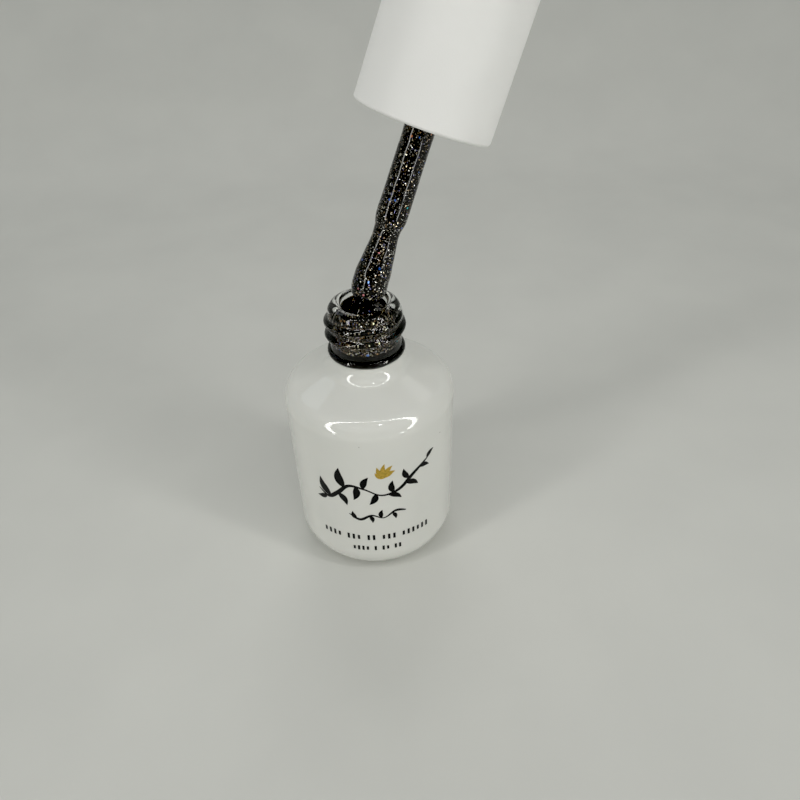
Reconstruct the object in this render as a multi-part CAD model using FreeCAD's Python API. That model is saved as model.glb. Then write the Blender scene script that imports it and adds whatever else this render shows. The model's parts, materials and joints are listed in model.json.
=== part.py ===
import FreeCAD, Part
import math
import os

# Nail polish bottle with its brush cap drawn out of the mouth, in millimetres.
# The origin is the centre of the foot on the bottle's axis, and +Z points up.
# Cap and brush are drawn screwed home first, then lifted and tilted to the rest pose.

# --- bottle, outside of the white coating ---
BODY_RADIUS = 15.5
FOOT_CORNER = 6.5
FOOT_RADIUS = 8.9
WALL_TOP = 34.2
SHOULDER_CORNER = 4.0
SHOULDER_SLOPE = math.radians(24.0)
NECK_BASE_RADIUS = 6.55
NECK_BASE_FILLET = 3.1
PUSH_UP_RADIUS = 6.6
PUSH_UP_HEIGHT = 0.9

# --- white coating on the glass ---
COATING_THICKNESS = 0.13
COATING_GAP = 0.02
COATING_START_RADIUS = 9.3
COATING_TOP = 42.95

# --- glass wall and neck finish ---
WALL_DEPTH = 2.2
FLOOR_TOP = 3.5
INNER_CORNER = 4.8
INNER_SHOULDER_CORNER = 2.5
INNER_NECK_FILLET = 2.0
NECK_RADIUS = 6.25
BORE_RADIUS = 3.95
LIP_TOP = 52.5
LIP_OUTER_ROUND = 1.6
LIP_INNER_ROUND = 0.75
COLLAR_RADIUS = 6.84
COLLAR_BEAD = 0.6
COLLAR_HEIGHT = 43.6

# --- screw thread on the neck and in the cap ---
THREAD_PITCH = 2.38
THREAD_START = 45.7
THREAD_TURNS = 2.05
THREAD_TAPER_TURNS = 0.16
THREAD_HALF_WIDTH = 0.85
THREAD_CREST = 7.05
THREAD_ROOT_DEPTH = 0.25
THREAD_END_SHARE = 0.15
THREAD_STEPS_PER_TURN = 12
CAP_THREAD_CREST = 7.5
CAP_THREAD_TURNS = 1.6
CAP_THREAD_START_TURNS = -0.5

# --- gel polish in the bottle ---
GEL_LEVEL = 31.0
GEL_GAP = 0.02
FILM_THICKNESS = 0.28
FILM_BOTTOM = 40.6
FILM_TOP = 51.4

# --- outer cap, screwed home ---
OVERCAP_RIM = 40.0
OVERCAP_LENGTH = 38.0
OVERCAP_RIM_RADIUS = 10.56
OVERCAP_TAPER = 0.028
OVERCAP_WALL = 1.15
OVERCAP_TOP_WALL = 1.4
OVERCAP_RIM_ROUND = 0.4
OVERCAP_TOP_ROUND = 1.1
RIB_COUNT = 12
RIB_WIDTH = 0.9
RIB_FOOT = 41.5
RIB_TOP = 60.0
RIB_STOP_RADIUS = 7.2

# --- inner cap, screwed home ---
INNER_CAP_BOTTOM = 40.5
INNER_CAP_RADIUS = 8.7
INNER_CAP_BORE = 8.1
FLANGE_RADIUS = 9.15
FLANGE_THICKNESS = 0.8
SEAL_GAP = 0.1
LINER_THICKNESS = 1.1
LINER_RADIUS = 7.3
LINER_HOLE = 3.05
CEILING_THICKNESS = 1.7
BOSS_RADIUS = 3.4
BOSS_TOP = 61.0
INNER_CAP_ROUND = 0.3
FIT_GAP = 0.02

# --- brush, screwed home ---
STEM_RADIUS = 1.9
STEM_FLANGE_RADIUS = 2.95
STEM_PLUG_RADIUS = 1.5
STEM_PLUG_TOP = 60.0
STEM_PLUG_ROUND = 0.4
STEM_FLANGE_ROUND = 0.2
STEM_END = 23.4
STEM_END_ROUND = 0.25
STEM_SOCKET_RADIUS = 1.35
STEM_SOCKET_DEPTH = 5.0
BRISTLE_ROOT = 27.6
BRISTLE_TIP = 11.0
BRISTLE_RADIUS = 0.15
BRISTLE_PITCH = 0.36
TUFT_RADIUS = 1.2
TUFT_ROUNDING = 1.4
STAPLE_RADIUS = 0.25
STAPLE_LENGTH = 2.5
STAPLE_HEIGHT = 28.0

# --- gel clinging to the brush, screwed home ---
COAT_TOP = 43.0
COAT_RADIUS = 2.42
COAT_SWELL = 0.08
WAIST_RADIUS = 2.15
WAIST_LENGTH = 2.6
BEAD_TIP = 10.1
BEAD_RADIUS = 3.0
BEAD_WIDEST = 13.6
TUFT_HOLE_RADIUS = 1.42
TUFT_HOLE_END = 10.8
BEAD_UPPER_SHARES = (0.85, 0.6)
BEAD_MIDDLE_SHARES = (0.95, 0.25)
BEAD_LOWER_RADIUS = 2.16
BEAD_LOWER = 11.0

# --- rest pose: the brush is lifted along its own axis and leans about the mouth ---
PIVOT_HEIGHT = 52.0
LIFT = 41.9
LEAN_DEGREES = 21.1
LEAN_HEADING = math.radians(15.3)
DRIP_TOP = 51.9
DRIP_BOTTOM = 49.9
DRIP_RADIUS = 0.5
DRIP_OFFSET = 3.1
DRIP_SHARES = [(0.9, 0.2), (1.0, 0.4), (0.6, 0.8)]

AXIS_POINT = FreeCAD.Vector(0, 0, 0)
UP = FreeCAD.Vector(0, 0, 1)
FULL_TURN = 360
SAME_POINT = 1e-6


def point(r, z):
    """A point of a half section: r from the axis, z above the origin."""
    return FreeCAD.Vector(r, 0, z)


def outline(corners):
    """A closed flat face through (r, z, fillet) corners, with an arc at each corner that has a fillet."""
    count = len(corners)
    starts = []
    ends = []
    edges = []
    for i, (r, z, fillet) in enumerate(corners):
        here = point(r, z)
        if fillet == 0:
            starts.append(here)
            ends.append(here)
            continue
        back = (point(*corners[i - 1][:2]) - here).normalize()
        onward = (point(*corners[(i + 1) % count][:2]) - here).normalize()
        half_angle = back.getAngle(onward) / 2
        reach = fillet / math.tan(half_angle)
        middle_way = (back + onward).normalize()
        arc_middle = here + middle_way * (fillet / math.sin(half_angle) - fillet)
        start = here + back * reach
        end = here + onward * reach
        edges.append(Part.Arc(start, arc_middle, end).toShape())
        starts.append(start)
        ends.append(end)
    for i in range(count):
        leave = ends[i]
        arrive = starts[(i + 1) % count]
        if leave.distanceToPoint(arrive) > SAME_POINT:
            edges.append(Part.LineSegment(leave, arrive).toShape())
    return Part.Face(Part.Wire(Part.__sortEdges__(edges)))


def turned(corners):
    """The solid of revolution of an outline about the bottle's axis."""
    return outline(corners).revolve(AXIS_POINT, UP, FULL_TURN)


def cylinder(radius, bottom, top, x=0.0, y=0.0):
    return Part.makeCylinder(radius, top - bottom, FreeCAD.Vector(x, y, bottom))


def ring(outer, inner, bottom, top):
    return cylinder(outer, bottom, top).cut(cylinder(inner, bottom, top))


def shoulder_height(r, inset=0.0):
    """Height of the sloping shoulder at radius r, on a surface lying inset inside the outside one."""
    corner_height = WALL_TOP + SHOULDER_CORNER * math.tan((math.pi / 2 - SHOULDER_SLOPE) / 2)
    return corner_height + (BODY_RADIUS - r) * math.tan(SHOULDER_SLOPE) - inset / math.cos(SHOULDER_SLOPE)


def side_corners(inset, neck_radius, foot_corner, shoulder_corner, neck_fillet, foot_height):
    """Corners from the foot up to the neck, on a surface lying inset inside the outside one."""
    wall = BODY_RADIUS - inset
    return [
        (wall, foot_height, foot_corner),
        (wall, shoulder_height(wall, inset), shoulder_corner),
        (neck_radius, shoulder_height(neck_radius, inset), neck_fillet),
    ]


def coat_side(inset):
    """Side corners of a surface that follows the outside of the coating at a constant depth."""
    return side_corners(
        inset,
        NECK_BASE_RADIUS - inset,
        FOOT_CORNER - inset,
        SHOULDER_CORNER - inset,
        NECK_BASE_FILLET + inset,
        inset,
    )


def cavity_side(inset):
    """Side corners of the inside of the glass, drawn in by inset."""
    return side_corners(
        WALL_DEPTH + inset,
        BORE_RADIUS - inset,
        INNER_CORNER - inset,
        INNER_SHOULDER_CORNER - inset,
        INNER_NECK_FILLET + inset,
        FLOOR_TOP + inset,
    )


def ridge_section(turns, root, crest, half_width):
    """One cross-section of a thread ridge, turns round the axis from the thread's start."""
    angle = FULL_TURN * turns
    height = THREAD_START + THREAD_PITCH * turns
    low = point(root, height - half_width)
    high = point(root, height + half_width)
    crown = Part.Arc(low, point(crest, height), high).toShape()
    back = Part.LineSegment(high, low).toShape()
    section = Part.Wire([crown, back])
    section.rotate(AXIS_POINT, UP, angle)
    return section


def thread(root, crest, start_turns, turns):
    """A right-hand thread ridge that rises out of the root at both ends."""
    steps = round(turns * THREAD_STEPS_PER_TURN)
    sections = []
    for i in range(steps + 1):
        along = turns * i / steps
        from_end = min(along, turns - along)
        growth = min(1.0, THREAD_END_SHARE + (1 - THREAD_END_SHARE) * from_end / THREAD_TAPER_TURNS)
        height = root + (crest - root) * growth
        half_width = THREAD_HALF_WIDTH * math.sqrt(growth)
        sections.append(ridge_section(start_turns + along, root, height, half_width))
    return Part.makeLoft(sections, True)


def glass_bottle():
    """Clear glass: body with a push-up base, neck with collar bead, screw thread and rounded lip."""
    inset = COATING_THICKNESS + COATING_GAP
    cavity_top_corner = (BORE_RADIUS, LIP_TOP, LIP_INNER_ROUND)
    outside = [
        (0, 0, 0),
        (FOOT_RADIUS, 0, 0),
        (FOOT_RADIUS, inset, 0),
        *coat_side(inset),
        (NECK_BASE_RADIUS - inset, COLLAR_HEIGHT, 0),
        (NECK_RADIUS, COLLAR_HEIGHT, 0),
        (NECK_RADIUS, LIP_TOP, LIP_OUTER_ROUND),
    ]
    inside = [cavity_top_corner, *reversed(cavity_side(0)), (0, FLOOR_TOP, 0)]
    glass = turned(outside + inside)
    ball_radius = (PUSH_UP_RADIUS ** 2 + PUSH_UP_HEIGHT ** 2) / (2 * PUSH_UP_HEIGHT)
    push_up = Part.makeSphere(ball_radius, FreeCAD.Vector(0, 0, PUSH_UP_HEIGHT - ball_radius))
    collar = Part.makeTorus(
        COLLAR_RADIUS - COLLAR_BEAD, COLLAR_BEAD, FreeCAD.Vector(0, 0, COLLAR_HEIGHT), UP
    )
    ridge = thread(NECK_RADIUS - THREAD_ROOT_DEPTH, THREAD_CREST, 0, THREAD_TURNS)
    return glass.cut(push_up).fuse([collar, ridge])


def white_coating():
    """Thin white lacquer over the outside of the body, from the foot to just under the collar."""
    outer = [(COATING_START_RADIUS, 0, 0), *coat_side(0), (NECK_BASE_RADIUS, COATING_TOP, 0)]
    inner = [
        (NECK_BASE_RADIUS - COATING_THICKNESS, COATING_TOP, 0),
        *reversed(coat_side(COATING_THICKNESS)),
        (COATING_START_RADIUS, COATING_THICKNESS, 0),
    ]
    return turned(outer + inner)


def gel_polish():
    """Gel polish lying in the body of the bottle."""
    foot = cavity_side(GEL_GAP)[0]
    return turned([(0, FLOOR_TOP + GEL_GAP, 0), foot, (foot[0], GEL_LEVEL, 0), (0, GEL_LEVEL, 0)])


def neck_gel_film():
    """Gel wiped off the brush, lining the bore of the neck."""
    outer = BORE_RADIUS - GEL_GAP
    return ring(outer, outer - FILM_THICKNESS, FILM_BOTTOM, FILM_TOP)


def overcap_radius(z):
    return OVERCAP_RIM_RADIUS - OVERCAP_TAPER * (z - OVERCAP_RIM)


def overcap():
    """Tapered outer shell of the cap, with ribs inside that grip the inner cap."""
    top = OVERCAP_RIM + OVERCAP_LENGTH
    ceiling = top - OVERCAP_TOP_WALL
    shell = turned([
        (OVERCAP_RIM_RADIUS, OVERCAP_RIM, OVERCAP_RIM_ROUND),
        (overcap_radius(top), top, OVERCAP_TOP_ROUND),
        (0, top, 0),
        (0, ceiling, 0),
        (overcap_radius(ceiling) - OVERCAP_WALL, ceiling, OVERCAP_RIM_ROUND),
        (OVERCAP_RIM_RADIUS - OVERCAP_WALL, OVERCAP_RIM, OVERCAP_RIM_ROUND / 2),
    ])
    ribs = [cap_rib(FULL_TURN * i / RIB_COUNT) for i in range(RIB_COUNT)]
    return shell.fuse(ribs)


def cap_rib(angle):
    """One grip rib, stepped inward above the inner cap as its stop."""
    grip = INNER_CAP_RADIUS + FIT_GAP
    step = ceiling_top() + FIT_GAP
    wall_middle_low = overcap_radius(RIB_FOOT) - OVERCAP_WALL / 2
    wall_middle_high = overcap_radius(RIB_TOP) - OVERCAP_WALL / 2
    section = outline([
        (grip, RIB_FOOT, 0),
        (wall_middle_low, RIB_FOOT, 0),
        (wall_middle_high, RIB_TOP, 0),
        (RIB_STOP_RADIUS, RIB_TOP, 0),
        (RIB_STOP_RADIUS, step, 0),
        (grip, step, 0),
    ])
    rib = section.extrude(FreeCAD.Vector(0, RIB_WIDTH, 0))
    rib.translate(FreeCAD.Vector(0, -RIB_WIDTH / 2, 0))
    rib.rotate(AXIS_POINT, UP, angle)
    return rib


def liner_bottom():
    return LIP_TOP + SEAL_GAP


def ceiling_bottom():
    return liner_bottom() + LINER_THICKNESS + FIT_GAP


def ceiling_top():
    return ceiling_bottom() + CEILING_THICKNESS


def inner_cap():
    """Threaded inner cap with a flange at its mouth and a boss that holds the brush stem."""
    body = turned([
        (INNER_CAP_BORE, INNER_CAP_BOTTOM, 0),
        (FLANGE_RADIUS, INNER_CAP_BOTTOM, 0),
        (FLANGE_RADIUS, INNER_CAP_BOTTOM + FLANGE_THICKNESS, 0),
        (INNER_CAP_RADIUS, INNER_CAP_BOTTOM + FLANGE_THICKNESS, 0),
        (INNER_CAP_RADIUS, ceiling_top(), INNER_CAP_ROUND),
        (BOSS_RADIUS, ceiling_top(), 0),
        (BOSS_RADIUS, BOSS_TOP, INNER_CAP_ROUND),
        (STEM_PLUG_RADIUS + FIT_GAP, BOSS_TOP, 0),
        (STEM_PLUG_RADIUS + FIT_GAP, ceiling_bottom(), 0),
        (INNER_CAP_BORE, ceiling_bottom(), 0),
    ])
    root = INNER_CAP_BORE + THREAD_ROOT_DEPTH
    ridge = thread(root, CAP_THREAD_CREST, CAP_THREAD_START_TURNS, CAP_THREAD_TURNS)
    return body.fuse(ridge)


def sealing_liner():
    """Foam washer that the lip presses on when the cap is screwed home."""
    return ring(LINER_RADIUS, LINER_HOLE, liner_bottom(), liner_bottom() + LINER_THICKNESS)


def brush_stem():
    """Stem with a flange under the inner cap's ceiling, a plug in its boss and a socket for the tuft."""
    flange_top = ceiling_bottom() - FIT_GAP
    stem = turned([
        (0, STEM_END, 0),
        (STEM_RADIUS, STEM_END, STEM_END_ROUND),
        (STEM_RADIUS, liner_bottom(), 0),
        (STEM_FLANGE_RADIUS, liner_bottom(), STEM_FLANGE_ROUND),
        (STEM_FLANGE_RADIUS, flange_top, 0),
        (STEM_PLUG_RADIUS, flange_top, 0),
        (STEM_PLUG_RADIUS, STEM_PLUG_TOP, STEM_PLUG_ROUND),
        (0, STEM_PLUG_TOP, 0),
    ])
    return stem.cut(cylinder(STEM_SOCKET_RADIUS, STEM_END, STEM_END + STEM_SOCKET_DEPTH))


def bristle_staple():
    """Wire across the socket that pins the tuft's fold."""
    start = FreeCAD.Vector(-STAPLE_LENGTH / 2, 0, STAPLE_HEIGHT)
    return Part.makeCylinder(STAPLE_RADIUS, STAPLE_LENGTH, start, FreeCAD.Vector(1, 0, 0))


def brush_bristles():
    """Round tuft of separate straight filaments, the outer ones shorter so that the tip is domed."""
    row_step = BRISTLE_PITCH * math.sqrt(3) / 2
    rows = int(TUFT_RADIUS / row_step) + 1
    columns = int(TUFT_RADIUS / BRISTLE_PITCH) + 1
    filaments = []
    for row in range(-rows, rows + 1):
        for column in range(-columns, columns + 1):
            x = (column + 0.5 * (row % 2)) * BRISTLE_PITCH
            y = row * row_step
            if math.hypot(x, y) + BRISTLE_RADIUS <= TUFT_RADIUS + BRISTLE_PITCH / 4:
                tip = BRISTLE_TIP + TUFT_ROUNDING * (math.hypot(x, y) / TUFT_RADIUS) ** 2
                filaments.append(cylinder(BRISTLE_RADIUS, tip, BRISTLE_ROOT, x, y))
    return Part.makeCompound(filaments)


def smooth_turned(profile, hole_corners):
    """Solid of revolution of a smooth curve through (r, z) points, closed by straight runs on its inner side."""
    curve = Part.BSplineCurve()
    curve.interpolate([point(r, z) for r, z in profile])
    rest = [point(*profile[-1]), *[point(r, z) for r, z in hole_corners], point(*profile[0])]
    edges = [curve.toShape()]
    edges += [Part.LineSegment(a, b).toShape() for a, b in zip(rest, rest[1:])]
    return Part.Face(Part.Wire(edges)).revolve(AXIS_POINT, UP, FULL_TURN)


def stem_gel_coat():
    """Gel drawn up along the stem, narrowing to a waist at the stem's end."""
    bore = STEM_RADIUS + FIT_GAP
    neck_in = STEM_END + WAIST_LENGTH
    profile = [
        (WAIST_RADIUS, STEM_END),
        (COAT_RADIUS + COAT_SWELL, neck_in),
        (COAT_RADIUS + COAT_SWELL / 2, (neck_in + COAT_TOP) / 2),
        (COAT_RADIUS, COAT_TOP),
    ]
    return smooth_turned(profile, [(bore, COAT_TOP), (bore, STEM_END)])


def brush_gel_bead():
    """Gel loaded on the tuft: a drop that is widest near its round end, hollow where the tuft is."""
    top = STEM_END - FIT_GAP
    upper, middle = [
        (BEAD_RADIUS * radius_share, BEAD_WIDEST + (top - BEAD_WIDEST) * height_share)
        for radius_share, height_share in (BEAD_UPPER_SHARES, BEAD_MIDDLE_SHARES)
    ]
    profile = [
        (WAIST_RADIUS, top),
        upper,
        middle,
        (BEAD_RADIUS, BEAD_WIDEST),
        (BEAD_LOWER_RADIUS, BEAD_LOWER),
        (0, BEAD_TIP),
    ]
    hole = [(0, TUFT_HOLE_END), (TUFT_HOLE_RADIUS, TUFT_HOLE_END), (TUFT_HOLE_RADIUS, top)]
    return smooth_turned(profile, hole)


def gel_drip():
    """Drop of gel left by the brush, hanging just inside the lip on the side the brush leans to."""
    height = DRIP_TOP - DRIP_BOTTOM
    bulge = [
        (DRIP_RADIUS * radius_share, DRIP_BOTTOM + height * height_share)
        for radius_share, height_share in DRIP_SHARES
    ]
    profile = [(0, DRIP_BOTTOM), *bulge, (0, DRIP_TOP)]
    drip = smooth_turned(profile, [])
    drip.translate(FreeCAD.Vector(DRIP_OFFSET, 0, 0))
    return drip


def drawn_out(shape):
    """Move a cap piece from screwed home to the rest pose."""
    shape = shape.copy()
    lean_axis = FreeCAD.Vector(-math.sin(LEAN_HEADING), math.cos(LEAN_HEADING), 0)
    shape.translate(FreeCAD.Vector(0, 0, LIFT))
    shape.rotate(FreeCAD.Vector(0, 0, PIVOT_HEIGHT), lean_axis, LEAN_DEGREES)
    return shape


STANDING = {
    "glass_bottle": glass_bottle,
    "white_coating": white_coating,
    "gel_polish": gel_polish,
    "neck_gel_film": neck_gel_film,
    "gel_drip": gel_drip,
}
RAISED = {
    "overcap": overcap,
    "inner_cap": inner_cap,
    "sealing_liner": sealing_liner,
    "brush_stem": brush_stem,
    "bristle_staple": bristle_staple,
    "brush_bristles": brush_bristles,
    "stem_gel_coat": stem_gel_coat,
    "brush_gel_bead": brush_gel_bead,
}

os.makedirs("parts", exist_ok=True)
for name, make in STANDING.items():
    make().exportStep(f"parts/{name}.step")
for name, make in RAISED.items():
    drawn_out(make()).exportStep(f"parts/{name}.step")
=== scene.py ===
import json
import math
import bpy
from mathutils import Matrix, Vector, noise


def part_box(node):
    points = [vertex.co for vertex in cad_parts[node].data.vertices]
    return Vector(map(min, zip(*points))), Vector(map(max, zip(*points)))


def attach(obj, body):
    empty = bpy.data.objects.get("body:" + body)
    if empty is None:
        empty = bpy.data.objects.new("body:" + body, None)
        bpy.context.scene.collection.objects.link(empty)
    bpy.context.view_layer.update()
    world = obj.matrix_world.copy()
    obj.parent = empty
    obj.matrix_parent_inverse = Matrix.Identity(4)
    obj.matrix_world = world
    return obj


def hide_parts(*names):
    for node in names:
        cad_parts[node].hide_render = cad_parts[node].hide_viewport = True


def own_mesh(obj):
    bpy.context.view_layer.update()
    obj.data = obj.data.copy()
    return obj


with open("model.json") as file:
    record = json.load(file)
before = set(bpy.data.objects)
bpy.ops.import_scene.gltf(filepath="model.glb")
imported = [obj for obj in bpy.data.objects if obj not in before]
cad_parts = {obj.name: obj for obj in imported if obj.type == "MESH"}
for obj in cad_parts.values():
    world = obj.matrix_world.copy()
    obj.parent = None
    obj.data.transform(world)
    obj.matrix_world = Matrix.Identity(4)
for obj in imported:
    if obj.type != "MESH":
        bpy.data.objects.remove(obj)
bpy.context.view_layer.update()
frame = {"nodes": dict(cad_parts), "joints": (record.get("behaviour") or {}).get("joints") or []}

# Nail polish bottle in white lacquer, with its loaded brush and cap lifted out of the neck.
# The script works in metres. Small sizes are written in millimetres and multiplied by MM.
MM = 0.001

# --- sizes read from the frame ---
FILM_TO_GLASS = 0.02 * MM
BODY_RADIUS, _, COATING_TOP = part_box("white_coating")[1]
LIP_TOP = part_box("glass_bottle")[1][2]
GEL_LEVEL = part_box("gel_polish")[1][2]
film_low, film_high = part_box("neck_gel_film")
FILM_BOTTOM = film_low[2]
FILM_TOP = film_high[2]
BORE_RADIUS = film_high[0] + FILM_TO_GLASS
DRIP_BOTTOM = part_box("gel_drip")[0][2]
cap_turn = next(joint for joint in frame["joints"] if joint["name"] == "cap_turn")
MOUTH = Vector(cap_turn["pos_m"])
BRUSH_AXIS = Vector(cap_turn["axis"]).normalized()

# --- bottle shape between those sizes ---
FOOT_CORNER = 6.5 * MM
FOOT_RADIUS = 8.9 * MM
PUSH_UP_RADIUS = 6.6 * MM
PUSH_UP_HEIGHT = 0.9 * MM
PUSH_UP_STEPS = 8
WALL_TOP = 34.2 * MM
SHOULDER_CORNER = 4.0 * MM
SHOULDER_SLOPE = math.radians(24.0)
NECK_BASE_RADIUS = 6.55 * MM
NECK_BASE_FILLET = 3.1 * MM
COATING_START = 9.3 * MM
COATING_THICKNESS = 0.13 * MM
COATING_GAP = 0.02 * MM
COATING_EDGE_WANDER = 0.06 * MM
WALL_DEPTH = 2.2 * MM
FLOOR_TOP = 3.5 * MM
INNER_CORNER = 4.8 * MM
INNER_SHOULDER_CORNER = 2.5 * MM
INNER_NECK_FILLET = 2.0 * MM
NECK_RADIUS = 6.25 * MM
LIP_OUTER_ROUND = 1.6 * MM
LIP_INNER_ROUND = 0.75 * MM
COLLAR_RADIUS = 6.84 * MM
COLLAR_BEAD = 0.6 * MM
COLLAR_HEIGHT = 43.6 * MM
COLLAR_FIRST_ANGLE = math.radians(-62)
COLLAR_LAST_ANGLE = math.radians(80)
COLLAR_STEPS = 16
THREAD_PITCH = 2.38 * MM
THREAD_START = 45.7 * MM
THREAD_TURNS = 2.05
THREAD_TAPER_TURNS = 0.16
THREAD_HALF_WIDTH = 0.98 * MM
THREAD_DEPTH = 0.8 * MM
THREAD_ROW = 0.09 * MM
THREAD_RUNS_OVER = 0.3 * MM
PROFILE_ROW = 1.2 * MM

# --- gel ---
CONTACT = 0.03 * MM
# Each point is its distance in from the wall and its drop below the gel's level, in millimetres.
MENISCUS = [(0.15, 0.25), (0.5, 0.5), (1.2, 0.68), (2.4, 0.75)]
FILM_DEPTH = 0.3 * MM
FILM_RISE = 0.1 * MM
FILM_ROW = 0.35 * MM
FILM_EDGE_WANDER = 0.35 * MM
FILM_EXTRA = 0.30 * MM
FILM_LUMP = 0.12 * MM
FILM_LUMP_PITCH = 2.5 * MM
# Painted shade in the neck's gel: no flakes in a band that winds along the thread, nor below the collar.
PAINTED_SHADE_PHASE = 0.42
PAINTED_SHADE_HALF = 0.09
PAINTED_SHADE_ABOVE_COLLAR = 0.9 * MM
STEM_END = 13.3 * MM
STEM_BORE = 1.93 * MM
GEL_FADE = 1.5 * MM
GEL_POINTS = 72
TUFT_ROWS = 90
STEM_ROWS = 110
TUFT_LUMPS = 0.035
TUFT_CROWDING = 1.6
TUFT_OVERLAP = 0.05 * MM
STEM_LUMPS = 0.022
GEL_LUMP_PITCH = 3.0 * MM
GEL_SHARP = math.radians(60)
STRAND_POINTS = 48
STRAND_ROWS = 36
STRAND_HEADING = math.radians(-12)
STRAND_OFF_WALL = 0.4 * MM
STRAND_RISE = 0.3 * MM
STRAND_FLATNESS = 0.7
STRAND_SAG = 0.35 * MM
STRAND_RADIUS = 0.95 * MM
STRAND_WIDENING = 0.75 * MM
STRAND_LUMPS = 0.14
# Each point is a height above the mouth along the brush and the gel's radius there, in millimetres.
GEL_OUTLINE = [
    (0.05, 0.0), (0.22, 1.0), (0.85, 2.0), (2.0, 2.72), (3.6, 2.98), (6.0, 2.86), (8.4, 2.55),
    (10.8, 2.24), (12.2, 2.12), (13.2, 2.14), (14.2, 2.36), (15.2, 2.53), (17.0, 2.51), (20.0, 2.45),
    (26.0, 2.38), (31.0, 2.34), (32.9, 2.32),
]

# --- turned surfaces ---
SEGMENTS = 256
ON_AXIS = 1e-9

# --- lamps, room and table ---
LIGHT_AIM = Vector((0, -13 * MM, 36 * MM))
RING_RADIANCE = 9.4
RING_SPREAD = math.radians(55)
STRIP_SPREAD = math.radians(15)
RING_PIECES = 30
RING_FIRST = math.radians(-32)
RING_LAST = math.radians(212)
RING_RADIUS = 0.32
RING_STRETCH = 1.32
RING_THIN = 0.014
RING_SWELL = 0.046
TO_LENS = Vector((-0.03, -0.89, 0.45)).normalized()
ROOM_FRONT = 0.50
ROOM_BACK = 0.03
BLACK_LEVEL = 0.015
FLOOR_DROP = 0.02 * MM
FLAT_RADIUS = 0.52
FLAT_BEHIND = 0.25
SWEEP_ROUND = 0.12
SWEEP_EDGE = (1.5, 0.84)


# ---------------------------------------------------------------- mesh helpers

def rounded(corners, step=math.radians(5)):
    """Points of an open outline through (r, z, fillet) corners, with an arc where there is a fillet."""
    points = []
    last = len(corners) - 1
    for i, (r, z, fillet) in enumerate(corners):
        here = Vector((r, z))
        if fillet == 0 or i in (0, last):
            points.append(here)
            continue
        back = (Vector(corners[i - 1][:2]) - here).normalized()
        onward = (Vector(corners[i + 1][:2]) - here).normalized()
        half_angle = back.angle(onward) / 2
        centre = here + (back + onward).normalized() * (fillet / math.sin(half_angle))
        start = here + back * (fillet / math.tan(half_angle)) - centre
        turn = math.pi - 2 * half_angle
        sense = 1 if back.x * onward.y - back.y * onward.x < 0 else -1
        count = max(2, math.ceil(turn / step))
        for k in range(count + 1):
            angle = sense * turn * k / count
            cos_a = math.cos(angle)
            sin_a = math.sin(angle)
            points.append(centre + Vector((
                start.x * cos_a - start.y * sin_a,
                start.x * sin_a + start.y * cos_a,
            )))
    return [(p.x, p.y) for p in points]


def filled_in(points, longest):
    """The same outline with its long runs divided, so that no run is longer than longest."""
    dense = [points[0]]
    for (r0, z0), (r1, z1) in zip(points, points[1:]):
        count = max(1, math.ceil(math.hypot(r1 - r0, z1 - z0) / longest))
        dense += [(r0 + (r1 - r0) * k / count, z0 + (z1 - z0) * k / count) for k in range(1, count + 1)]
    return dense


def new_object(name, verts, faces, material, sharp=math.radians(40)):
    """A smooth-shaded mesh object, with edges sharper than sharp kept crisp."""
    mesh = bpy.data.meshes.new(name)
    mesh.from_pydata([tuple(v) for v in verts], [], faces)
    mesh.validate()
    mesh.polygons.foreach_set("use_smooth", [True] * len(mesh.polygons))
    mesh.set_sharp_from_angle(angle=sharp)
    mesh.materials.append(material)
    obj = bpy.data.objects.new(name, mesh)
    bpy.context.scene.collection.objects.link(obj)
    return obj


def lathe(name, profile, material, closed=True, shift=None):
    """A surface turned about the bottle's axis. The outline runs so that its outside is on the right.

    shift(angle, r, z) may move a point to another (r, z), which is how the screw thread is raised.
    """
    verts = []
    rings = []
    for r, z in profile:
        if r < ON_AXIS:
            rings.append([len(verts)] * SEGMENTS)
            verts.append((0, 0, z))
            continue
        ring = []
        for k in range(SEGMENTS):
            angle = math.tau * k / SEGMENTS
            r_here, z_here = shift(angle, r, z) if shift else (r, z)
            ring.append(len(verts))
            verts.append((r_here * math.cos(angle), r_here * math.sin(angle), z_here))
        rings.append(ring)
    pairs = list(zip(rings, rings[1:]))
    if closed and rings[0][0] != rings[0][1]:
        pairs.append((rings[-1], rings[0]))
    faces = []
    for low, high in pairs:
        for k in range(SEGMENTS):
            n = (k + 1) % SEGMENTS
            face = list(dict.fromkeys([low[k], low[n], high[n], high[k]]))
            if len(face) > 2:
                faces.append(face)
    return new_object(name, verts, faces, material)


def smooth_value(stations, x):
    """Smooth curve through (x, value) stations that never overshoots them."""
    if x <= stations[0][0]:
        return stations[0][1]
    if x >= stations[-1][0]:
        return stations[-1][1]
    i = max(k for k in range(len(stations) - 1) if stations[k][0] <= x)
    x0, y0 = stations[i]
    x1, y1 = stations[i + 1]
    slopes = []
    for j in (i, i + 1):
        if j == 0 or j == len(stations) - 1:
            slopes.append((y1 - y0) / (x1 - x0))
            continue
        (xa, ya), (xb, yb), (xc, yc) = stations[j - 1:j + 2]
        before = (yb - ya) / (xb - xa)
        after = (yc - yb) / (xc - xb)
        slopes.append(0 if before * after <= 0 else 2 * before * after / (before + after))
    t = (x - x0) / (x1 - x0)
    width = x1 - x0
    return (
        y0 * (1 + 2 * t) * (1 - t) ** 2
        + y1 * t * t * (3 - 2 * t)
        + slopes[0] * width * t * (1 - t) ** 2
        - slopes[1] * width * t * t * (1 - t)
    )


# ---------------------------------------------------------------- material helpers

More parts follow.
